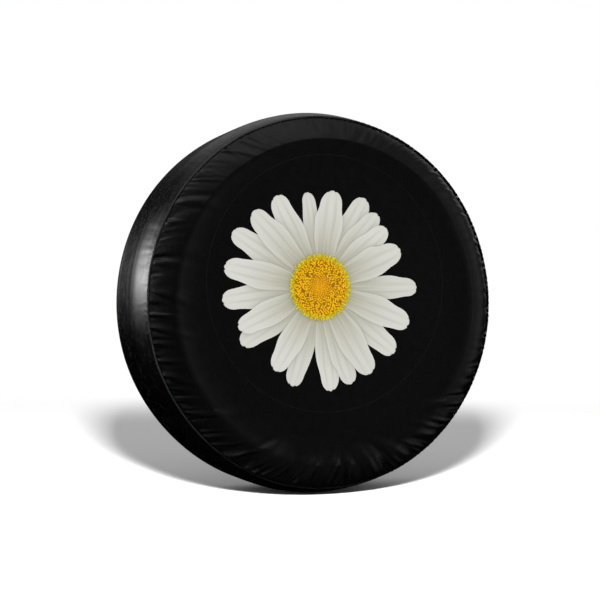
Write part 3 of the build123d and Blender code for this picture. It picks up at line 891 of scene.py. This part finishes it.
face = shell("face_panel_cloth", FACE, CLOTH, [FACE_COAT, BACKING], pole=True)
band = shell("tread_band_cloth", BAND, CLOTH, [BAND_COAT, BACKING])
back = shell("back_panel_cloth", BACK, CLOTH, [BACK_COAT, BACKING])
for side, panel in (("face", face), ("band", band), ("back", back)):
    sew_on(panel, side + "_cloth", panel.name.removesuffix("_cloth"))


def hem_mesh():
    """The hem's tunnel: a closed ring of cloth with an outer and an inner side."""
    rings = len(HEM.reach) - 1
    outside = loop_quads(rings, SPOKES)
    points = [HEM.points[:-1], HEM.points[:-1] - HEM.normals[:-1] * CLOTH]
    faces = np.concatenate([outside[:, ::-1], outside + rings * SPOKES])
    made = build("hem_casing_cloth", np.stack(points), faces.tolist(), [BACK_COAT, BACKING], len(outside))
    ridge = ridge_of(HEM.rise[:-1])
    spread(made, "ridge", np.stack([ridge, ridge * 0]))
    return made


hem = sew_on(hem_mesh(), "back_cloth", "hem_casing")

# The welt stands off the seam, outwards and to the front.
WELT_RADIUS = 1.6 * MM
WELT_STAND_OFF = 1.5 * MM
WELT_SLANT = math.radians(38.7)
turns = np.arange(SPOKES) * TAU / SPOKES
pucker = 1 + 0.20 * waves(41, turns, (171, 199, 233, 267), 1.0) + 0.10 * waves(42, turns, (31, 47, 83), 1.0)
outward = np.array([math.cos(WELT_SLANT), -math.sin(WELT_SLANT)]) * WELT_STAND_OFF
seam_line = np.array([SEAM_RADIUS, -SEAM_Y]) + outward
piping = ring_tube("seam_piping_welt", seam_line, WELT_RADIUS * pucker, 10, WELT_COAT)
sew_on(piping, "piping", "seam_piping")


# ---------------------------------------------------------------- tapes and stitching

def row_of(count, jitter, seed):
    """Angles of a row of stitches all the way round, a little uneven."""
    rng = np.random.default_rng(seed)
    return (np.arange(count) + rng.uniform(-jitter, jitter, count)) * TAU / count


all_round = np.arange(SPOKES // 2) * TAU / (SPOKES // 2)
tape_width = np.linspace(1 * MM, 15 * MM, 8)
inside, outside = -CLOTH - 0.9 * MM, -CLOTH - 0.1 * MM
for side, run, node in (("front", tape_width, "face"), ("rear", BAND_LENGTH - tape_width, "back")):
    tape = strip(f"{side}_seam_tape", BAND, all_round, run, inside, outside, [TAPE])
    sew_on(tape, "tape", f"{node}_seam_tape")

# The rows along both seams, and the row that closes the hem but leaves a gap at the eyelets.
SEAM_STITCHES, HEM_STITCHES, UNEVEN = 560, 380, 0.06
SEAM_STITCH, HEM_STITCH, THREAD_RADIUS = 3.1 * MM, 3.0 * MM, 0.42 * MM
ROW_FROM_SEAM = 3.6 * MM
HEM_ROW_RADIUS = 230.5 * MM
HEM_ROW_GAP = math.radians(6)

front_angles = row_of(SEAM_STITCHES, UNEVEN, 51)
front_row = stitches("front_topstitching", BAND, front_angles, ROW_FROM_SEAM, SEAM_STITCH, 0.36 * MM,
                     lift=-0.2 * MM)
sew_on(front_row, "thread", "seam_topstitch")
rear_angles = row_of(SEAM_STITCHES, UNEVEN, 52)
rear_row = stitches("rear_topstitching", BACK, rear_angles, ROW_FROM_SEAM, SEAM_STITCH, THREAD_RADIUS)
sew_on(rear_row, "thread", "back_topstitch")

hem_angles = row_of(HEM_STITCHES, UNEVEN, 53)
hem_angles = hem_angles[np.abs(turn_between(hem_angles, EYELET_ANGLE)) > HEM_ROW_GAP]
off_row = np.abs(HEM.section[:, 0] - HEM_ROW_RADIUS) + 10 * np.abs(HEM.section[:, 1] - HEM_BACK_Y)
hem_reach = HEM.reach[np.argmin(off_row)]
hem_row = stitches("hem_topstitching", HEM, hem_angles, hem_reach, HEM_STITCH, THREAD_RADIUS)
sew_on(hem_row, "thread", "hem_topstitch")

half_join = JOIN_WIDTH / 2 / TREAD_RADIUS
join_angles = JOIN_ANGLE + np.linspace(-half_join, half_join, 13)
join_run = np.linspace(8 * MM, BAND_LENGTH - 8 * MM, 70)
join = strip("band_join_lap", BAND, join_angles, join_run, 0.02 * MM, 1.0 * MM, [BAND_COAT])
sew_on(join, "band_cloth", "band_join")
stitch_run = np.arange(10 * MM, BAND_LENGTH - 10 * MM, 4 * MM)
for side, label in ((-1, "lower"), (1, "upper")):
    angle = JOIN_ANGLE + side * half_join * 0.72
    name = f"band_join_stitches_{label}"
    sew_on(stitches(name, BAND, angle, stitch_run, SEAM_STITCH, THREAD_RADIUS, turn=math.pi / 2), "thread")


# ---------------------------------------------------------------- label and lock

def reach_at(cloth, radius):
    """How far along a side's section a given radius lies, measured from its seam."""
    return np.interp(-np.asarray(radius), -cloth.section[:, 0], cloth.reach)


LABEL_ANGLE = math.radians(-62)
LABEL_HALF_WIDTH = 17 * MM
LABEL_RADII = (236 * MM, 258 * MM)
label_angles = LABEL_ANGLE + np.linspace(-1, 1, 41) * LABEL_HALF_WIDTH / LABEL_RADII[0]
label_reaches = reach_at(BACK, np.linspace(LABEL_RADII[1], LABEL_RADII[0], 26))
label = strip("blank_label", BACK, label_angles, label_reaches, 0.1 * MM, 0.7 * MM, [RIBBON])
sew_on(label, "label", "sewn_label")
for name, angle in (("left", label_angles[0] + 0.008), ("right", label_angles[-1] - 0.008)):
    ends = stitches(f"label_stitches_{name}", BACK, angle, label_reaches[1:-1:3], 2.4 * MM, 0.35 * MM,
                    turn=math.pi / 2, lift=0.7 * MM)
    sew_on(ends, "thread")

for node, material in (
    ("eyelet_patch", BACK_COAT), ("eyelets", DARK_METAL), ("hem_elastic", BRAID), ("lock_cords", BRAID),
    ("lock_body", PLASTIC), ("lock_button", BUTTON_PLASTIC), ("cord_end_caps", PLASTIC),
):
    keep(node, material)


def spring_coil():
    """The coil spring between the bore's end and the button, in the place of the CAD's."""
    low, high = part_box("lock_spring")
    wire, laps, sides = 0.35 * MM, 4, 12
    coil = (high.y - low.y) / 2 - wire
    lap = np.linspace(0, laps * TAU, laps * 32 + 1)
    cos, sin = np.cos(lap), np.sin(lap)
    centre = np.stack([np.linspace(low.x + wire, high.x - wire, len(lap)), coil * cos, coil * sin], 1)
    centre += [0, (low.y + high.y) / 2, (low.z + high.z) / 2]
    outward = np.stack([0 * lap, cos, sin], 1)
    side = np.cross(np.gradient(centre, axis=0), outward)
    side /= np.linalg.norm(side, axis=1)[:, None]
    turn = (np.arange(sides) * TAU / sides)[None, :, None]
    points = centre[:, None] + (outward[:, None] * np.cos(turn) + side[:, None] * np.sin(turn)) * wire
    return build("lock_spring_coil", points, [f[::-1] for f in capped_tube(len(lap), sides)], [WIRE])


spring = spring_coil()
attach(spring, "cord_lock")
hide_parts("lock_spring")
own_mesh(spring)


# ---------------------------------------------------------------- printed daisy

# Each petal's direction in degrees, its reach and width in millimetres, and the layer it lies in.
PETALS = (
    (82.0, 185, 54, 4), (63.0, 195, 50, 0), (51.6, 186, 45, 1), (39.6, 181, 45, 2), (24.3, 185, 54, 4),
    (0.4, 205, 42, 1), (-18.4, 200, 50, 3), (-37.6, 200, 48, 0), (-56.3, 195, 52, 3), (-71.1, 194, 42, 2),
    (-83.3, 197, 44, 1), (-105.9, 193, 42, 0), (-119.3, 180, 46, 2), (-144.7, 190, 45, 0),
    (-154.5, 180, 45, 2), (-172.7, 196, 45, 0), (170.6, 194, 48, 2), (151.2, 201, 45, 0),
    (134.5, 193, 48, 2), (119.0, 191, 47, 1), (98.4, 180, 32, 0),
)
# Two of the lowest petals have a set tone, and the tones of the others are drawn at random.
UNDERNEATH, UNDER_TONE = (7, 13), 0.25
PETAL_ROOT = 40 * MM
LAYER = 0.12 * MM
PETAL_ROWS, PETAL_COLUMNS = 56, 29


def petal_outline(rng, reach, width):
    """Grid of places along and across one petal, before it is turned: blunt and notched at its tip."""
    along = np.linspace(0, 1, PETAL_ROWS)[:, None]
    across = np.linspace(-1, 1, PETAL_COLUMNS)[None, :]
    cap = width * rng.uniform(0.52, 0.66)
    end = reach - cap * (1 - np.sqrt(1 - 0.99 * np.abs(across) ** 2.05))
    for place in (rng.uniform(-0.42, -0.2), rng.uniform(0.15, 0.42)):
        end = end - rng.uniform(0.6, 2.4) * MM * np.exp(-((across - place) / 0.10) ** 2)
    end = end - rng.uniform(-3.0, 3.0) * MM * across
    x = PETAL_ROOT + (end - PETAL_ROOT) * along
    belly = rng.uniform(0.60, 0.72)
    half = width / 2 * (0.66 + 0.42 * smooth(along / belly))
    half = half * (1 - 0.22 * smooth((along - belly) / (1 - belly)))
    edge = 1 + 0.02 * np.sin(along * rng.uniform(9, 16) + rng.uniform(0, TAU)) * np.sign(across)
    bend = rng.uniform(-4, 4) * MM * (along ** 2)
    return x, across * half * edge + bend


def petal_grids():
    """Every petal's places on the face, relative to the flower's centre."""
    rng = np.random.default_rng(61)
    grids = []
    for direction, reach, width, _ in PETALS:
        x, y = petal_outline(rng, reach * MM, width * MM)
        cos, sin = math.cos(math.radians(direction)), math.sin(math.radians(direction))
        grids.append(np.stack([x * cos - y * sin, x * sin + y * cos], -1))
    return grids


def rim_of(grid):
    """The closed outline of a petal's grid."""
    return np.concatenate([grid[:, 0], grid[-1, 1:], grid[-2::-1, -1], grid[0, -2:0:-1]])


def gap_to(points, rim):
    """Distance from each point to a closed outline, 0 inside it."""
    start, step = rim, np.roll(rim, -1, 0) - rim
    to = points[:, None] - start[None]
    share = np.clip((to * step).sum(-1) / np.maximum((step * step).sum(-1), 1e-12), 0, 1)
    gap = np.linalg.norm(to - share[..., None] * step, axis=-1).min(1)
    after = np.roll(rim, -1, 0)
    crosses = (start[None, :, 1] > points[:, None, 1]) != (after[None, :, 1] > points[:, None, 1])
    rise = np.where(np.abs(step[:, 1]) < 1e-12, 1e-12, step[:, 1])
    hit = start[None, :, 0] + (points[:, None, 1] - start[None, :, 1]) / rise * step[None, :, 0]
    inside = (crosses & (points[:, None, 0] < hit)).sum(1) % 2 == 1
    return np.where(inside, 0, gap)


def film(name, grid, low, high, material):
    """A thin closed film of ink on the face, from low to high above it."""
    rows, columns, _ = grid.shape
    count = rows * columns
    x, z = FLOWER[0] + grid[..., 0].ravel(), FLOWER[1] + grid[..., 1].ravel()
    top = np.stack([x, np.full(count, FACE_Y - high), z], 1)
    bottom = np.stack([x, np.full(count, FACE_Y - low), z], 1)
    ring = rim_order(rows, columns)
    after = np.roll(ring, -1)
    faces = [quads_between(rows, columns, False), quads_between(rows, columns, False, count)[:, ::-1]]
    faces.append(wall(ring, after, count))
    return build(name, np.stack([top, bottom]), np.concatenate(faces)[:, ::-1].tolist(), [material])


def rim_order(rows, columns):
    """Vertex numbers round the edge of a grid."""
    left = np.arange(rows) * columns
    top = left[-1] + np.arange(1, columns)
    right = (np.arange(rows - 1) * columns + columns - 1)[::-1]
    bottom = np.arange(1, columns - 1)[::-1]
    return np.concatenate([left, top, right, bottom])


def add_petals():
    """A film of ink for each petal, shaded at the disc and where another petal lies over it."""
    rng = np.random.default_rng(62)
    grids = petal_grids()
    layers = [petal[3] for petal in PETALS]
    rows, columns = np.linspace(0, 1, PETAL_ROWS), np.linspace(-1, 1, PETAL_COLUMNS)
    along, across = np.meshgrid(rows, columns, indexing="ij")
    for k, grid in enumerate(grids):
        flat = grid.reshape(-1, 2)
        shade = 0.55 * np.exp(-np.maximum(np.hypot(*flat.T) - DISC_RADIUS, 0) / (9 * MM))
        for other, above in enumerate(grids):
            if layers[other] > layers[k]:
                shade = np.maximum(shade, 0.42 * np.exp(-gap_to(flat, rim_of(above)) / (4.5 * MM)))
        low = (0.02 + 0.05 * layers[k]) * MM
        petal = film(f"petal_{k + 1:02d}", grid, low, (layers[k] + 1) * LAYER, PETAL_INK)
        tone = along * 0 + (UNDER_TONE if k in UNDERNEATH else rng.uniform(0.0, 0.4))
        for name, values in (("along", along), ("across", across), ("shade", shade), ("tone", tone)):
            spread(petal, name, np.tile(np.ravel(values), 2))
        sew_on(petal, "white_ink", "petal_print")


# The disc's rim starts and its core ends at these shares of its radius. Between them, a share of the florets
# is left out.
RIM_FROM, CORE_TO = 0.92, 0.40
FLORETS = 640
LEFT_OUT = 0.10


def floret(rho, rng):
    """Size, height, stretch, turn and colour of a floret by its distance from the middle of the disc."""
    share = rho / DISC_RADIUS
    bright = rng.uniform(0.82, 1.1)
    if share > RIM_FROM:
        return 2.6 * MM, 0.4 * MM, 2.3, rng.normal(0, 0.3), (0.72 * bright, 0.64 * bright, 0.015)
    if share > CORE_TO:
        stretch, turn = rng.uniform(1.0, 2.2), rng.uniform(-1.3, 1.3)
        return 2.3 * MM, 0.6 * MM, stretch, turn, (0.97 * bright, 0.55 * bright, 0.006)
    return 1.9 * MM, 0.5 * MM, 1.1, 0.0, (0.95 * bright, 0.50 * bright, 0.006)


def add_disc_ground():
    """The ground under the florets: orange in the middle, brown round it and yellow at the rim."""
    rings, spokes = 14, 96
    radius = np.linspace(0.02, 1, rings)[:, None] * DISC_RADIUS
    angle = np.arange(spokes) * TAU / spokes
    rough = 1 + 0.012 * np.sin(17 * angle) + 0.01 * np.sin(29 * angle + 1.0)
    x, z = FLOWER[0] + radius * rough * np.cos(angle), FLOWER[1] + radius * rough * np.sin(angle)
    high = FACE_Y - 0.75 * MM - 0.15 * MM * (1 - (radius / DISC_RADIUS) ** 2)
    top = np.stack([x, high + 0 * x, z], -1).reshape(-1, 3)
    bottom = np.stack([x[-1], np.full(spokes, FACE_Y - 0.01 * MM), z[-1]], -1)
    count, last = rings * spokes, (rings - 1) * spokes
    spoke = np.arange(spokes)
    after = (spoke + 1) % spokes
    faces = quads_between(rings, spokes).tolist() + wall(last + spoke, last + after, spokes).tolist()
    faces += [spoke[::-1].tolist(), (count + spoke).tolist()]
    ground = build("disc_ground", np.vstack([top, bottom]), [f[::-1] for f in faces], [FLORET_INK])
    share = np.concatenate([np.repeat(np.linspace(0.02, 1, rings), spokes), np.ones(spokes)])[:, None]
    deep, rim = smooth(share / 0.5), smooth((share - 0.86) / 0.08)
    soil = np.array([0.75, 0.30, 0.004]) * (1 - deep) + np.array([0.30, 0.12, 0.003]) * deep
    paint(ground, soil * (1 - rim) + np.array([0.50, 0.42, 0.008]) * rim)
    sew_on(ground, "yellow_ink", "disc_print")


def add_florets():
    """The spiral of raised florets, with some of them left out between the core and the rim."""
    rng = np.random.default_rng(71)
    sides = 8
    tiers = np.array([(1.0, 0.0), (0.93, 0.45), (0.66, 0.85), (0.3, 1.0)])
    golden = math.pi * (3 - math.sqrt(5))
    points, colours, faces = [], [], []
    for k in range(FLORETS):
        rho = DISC_RADIUS * 1.02 * math.sqrt((k + 0.5) / FLORETS)
        turn = k * golden + rng.normal(0, 0.02)
        size, tall, long, tip, colour = floret(rho, rng)
        size *= rng.uniform(0.8, 1.1)
        if rho > RIM_FROM * DISC_RADIUS:
            rho += rng.uniform(-0.5, 2.6) * MM
        elif rho > CORE_TO * DISC_RADIUS:
            rho += rng.normal(0, 0.5 * MM)
            if rng.uniform() < LEFT_OUT:
                continue
        ring = np.arange(sides) * TAU / sides
        start = len(points)
        for wide, rise in tiers:
            far = wide * size * math.sqrt(long) * np.cos(ring)
            near = wide * size / math.sqrt(long) * np.sin(ring)
            out = far * math.cos(tip) - near * math.sin(tip)
            side = far * math.sin(tip) + near * math.cos(tip)
            px = (rho + out) * math.cos(turn) - side * math.sin(turn)
            pz = (rho + out) * math.sin(turn) + side * math.cos(turn)
            y = FACE_Y - 0.85 * MM - tall * rise - 0 * px
            points += np.stack([FLOWER[0] + px, y, FLOWER[1] + pz], 1).tolist()
            shade = 0.62 + 0.38 * rise
            colours += [(colour[0] * shade, colour[1] * shade ** 1.3, colour[2])] * sides
        faces += [[v + start for v in face] for face in capped_tube(len(tiers), sides)]
    florets = build("disc_florets", points, [f[::-1] for f in faces], [FLORET_INK])
    paint(florets, colours)
    sew_on(florets, "yellow_ink", "disc_print")


def add_print_edge():
    """The hairline that rings the print, a little off the wheel's centre."""
    centre, radius, half = (-5 * MM, 35 * MM), 243 * MM, 0.3 * MM
    low, high = 0.02 * MM, 0.1 * MM
    turn = np.arange(720) * TAU / 720
    levels = []
    for side, lift in ((-half, low), (-half, high), (half, high), (half, low)):
        r = radius + side
        x, z = centre[0] + r * np.cos(turn), centre[1] + r * np.sin(turn)
        points, _ = FACE.at(np.arctan2(z, x), reach_at(FACE, np.hypot(x, z)), lift)
        levels.append(points)
    faces = loop_quads(len(levels), len(turn)).tolist()
    edge = build("print_edge", np.stack(levels), faces, [EDGE_INK])
    spread(edge, "ridge", np.zeros(len(levels) * len(turn)))
    sew_on(edge, "face_cloth")


EDGE_INK = coated_cloth("print_edge_film", (0.0075, 0.0075, 0.008), 0.33, 0.2 * MM)
add_petals()
add_disc_ground()
add_florets()
add_print_edge()


# ---------------------------------------------------------------- camera, floor and light

CAMERA_AZIMUTH = math.radians(-23)
CAMERA_ELEVATION = math.radians(-1)
CAMERA_DISTANCE = 2.392
CAMERA_ROLL = math.radians(0.5)
CAMERA_LENS = 72.6
CAMERA_SHIFT = (-0.0123, 0.0045)


def toward(azimuth, elevation, distance):
    """A place seen from the origin in a direction given in radians."""
    level = math.cos(elevation)
    return Vector((math.sin(azimuth) * level, -math.cos(azimuth) * level, math.sin(elevation))) * distance


def add_camera():
    """The camera at its place, with its lens, shift and roll."""
    data = bpy.data.cameras.new("camera")
    data.lens = CAMERA_LENS
    data.shift_x, data.shift_y = CAMERA_SHIFT
    made = bpy.data.objects.new("camera", data)
    made.location = toward(CAMERA_AZIMUTH, CAMERA_ELEVATION, CAMERA_DISTANCE)
    look = (-made.location).to_track_quat("-Z", "Y")
    made.rotation_euler = (look @ Quaternion((0, 0, 1), CAMERA_ROLL)).to_euler()
    bpy.context.scene.collection.objects.link(made)
    bpy.context.scene.camera = made


# The soft lights that the cover mirrors: azimuth and elevation in degrees, radiance, and how far each
# spreads level and upright before it fades.
MIRRORED_LIGHTS = (
    (-117, 10, 10.4, 0.36, 0.15),
    (-139, 9, 1.1, 0.26, 0.10),
    (-126, 24, 1.3, 0.16, 0.12),
    (-88, 9, 0.8, 0.14, 0.22),
    (-88, 52, 1.4, 0.26, 0.20),
    (-68, 9, 0.32, 0.58, 0.34),
    (-175, 49, 0.42, 0.42, 0.13),
    (171, 33, 0.36, 0.22, 0.14),
    (-8, 70, 0.54, 0.60, 0.36),
    (20, 42, 0.36, 0.30, 0.20),
    (9, 9, 0.07, 0.28, 0.36),
    (59, 6, 0.42, 0.33, 0.40),
    (18, -34, 0.08, 0.60, 0.45),
    (125, 30, 1.10, 0.38, 0.36),
)
AMBIENT = 1.0


def add_world():
    """A white background, even soft light all round, and broad soft lights for the gloss to mirror."""
    world = bpy.data.worlds.new("studio")
    world.use_nodes = True
    world.cycles.sampling_method = "NONE"
    tree = world.node_tree
    tree.nodes.clear()
    link = tree.links.new

    def step(kind, operation, first, second):
        made = tree.nodes.new(kind)
        made.operation = operation
        for socket, value in zip(made.inputs, (first, second)):
            if isinstance(value, bpy.types.NodeSocket):
                link(value, socket)
            else:
                socket.default_value = value
        return made

    direction = tree.nodes.new("ShaderNodeTexCoord").outputs["Generated"]
    total = 0.0
    for azimuth, elevation, radiance, level, upright in MIRRORED_LIGHTS:
        centre = toward(math.radians(azimuth), math.radians(elevation), 1.0)
        off = step("ShaderNodeVectorMath", "SUBTRACT", direction, centre).outputs[0]
        off = step("ShaderNodeVectorMath", "DIVIDE", off, (level, level, upright)).outputs[0]
        gap = step("ShaderNodeVectorMath", "DOT_PRODUCT", off, off).outputs["Value"]
        fade = step("ShaderNodeMath", "POWER", math.exp(-1), gap).outputs[0]
        glow = step("ShaderNodeMath", "MULTIPLY", fade, radiance).outputs[0]
        total = step("ShaderNodeMath", "ADD", glow, total).outputs[0]

    path = tree.nodes.new("ShaderNodeLightPath")
    soft, mirror = (tree.nodes.new("ShaderNodeBackground") for _ in range(2))
    soft.inputs["Color"].default_value = mirror.inputs["Color"].default_value = (1, 1, 1, 1)
    soft.inputs["Strength"].default_value = AMBIENT
    link(total, mirror.inputs["Strength"])
    mix = tree.nodes.new("ShaderNodeMixShader")
    out = tree.nodes.new("ShaderNodeOutputWorld")
    link(path.outputs["Is Glossy Ray"], mix.inputs[0])
    link(soft.outputs[0], mix.inputs[1])
    link(mirror.outputs[0], mix.inputs[2])
    link(mix.outputs[0], out.inputs["Surface"])
    bpy.context.scene.world = world


FLOOR_Z = -TREAD_RADIUS - 0.6 * MM
# The floor turns to the background's white between these distances from the middle.
FLOOR_WHITE = (1.6, 3.2)


def add_floor():
    """A plain pale floor that fades into the background."""
    size, cells = 12.0, 24
    place = np.linspace(-size, size, cells + 1)
    x, y = np.meshgrid(place, place)
    points = np.stack([x, y, np.full_like(x, FLOOR_Z)], -1)
    finish = Finish("studio_floor", (0.4, 0.4, 0.4), 0.9, Specular_IOR_Level=0.0)
    tree = finish.tree
    coordinates = finish.node("TexCoord").outputs["Object"]
    distance = finish.node("VectorMath", {0: coordinates}, operation="LENGTH").outputs["Value"]
    white = finish.node("Emission", {"Color": (1, 1, 1, 1), "Strength": 1.0})
    blend = finish.node("MixShader", {0: finish.ramp(distance, *FLOOR_WHITE)})
    grain = finish.noise(40, 3)
    finish.colour(grain, (0.395, 0.395, 0.395), (0.405, 0.405, 0.405))
    tree.links.new(finish.shader.outputs[0], blend.inputs[1])
    tree.links.new(white.outputs[0], blend.inputs[2])
    tree.links.new(blend.outputs[0], tree.nodes["Material Output"].inputs["Surface"])
    faces = quads_between(cells + 1, cells + 1, False).tolist()
    floor = build("studio_floor", points, faces, [finish.material])
    floor.visible_glossy = False
    floor.visible_diffuse = False
    return floor


KEY_PLACE = toward(math.radians(-22.5), 0, 1.96) + Vector((0, 0, 0.51))
KEY_SIZE = 0.18
KEY_RADIANCE = 730


def add_floor_key(floor):
    """A square light for the floor alone, which draws the cover's shadow and doesn't weaken with distance."""
    data = bpy.data.lights.new("floor_key", "AREA")
    data.shape = "RECTANGLE"
    data.size = data.size_y = KEY_SIZE
    data.energy = KEY_RADIANCE * math.pi * KEY_SIZE * KEY_SIZE
    data.use_nodes = True
    tree = data.node_tree
    falloff = tree.nodes.new("ShaderNodeLightFalloff")
    falloff.inputs["Strength"].default_value = 1.0
    tree.links.new(falloff.outputs["Constant"], tree.nodes["Emission"].inputs["Strength"])
    made = bpy.data.objects.new("floor_key", data)
    made.location = KEY_PLACE
    made.rotation_euler = (Vector((0, 0, FLOOR_Z)) - KEY_PLACE).to_track_quat("-Z", "Y").to_euler()
    made.visible_camera = False
    bpy.context.scene.collection.objects.link(made)
    lit = bpy.data.collections.new("floor_key_reach")
    lit.objects.link(floor)
    made.light_linking.receiver_collection = lit


add_camera()
add_world()
add_floor_key(add_floor())

bpy.context.scene.view_settings.view_transform = "Standard"
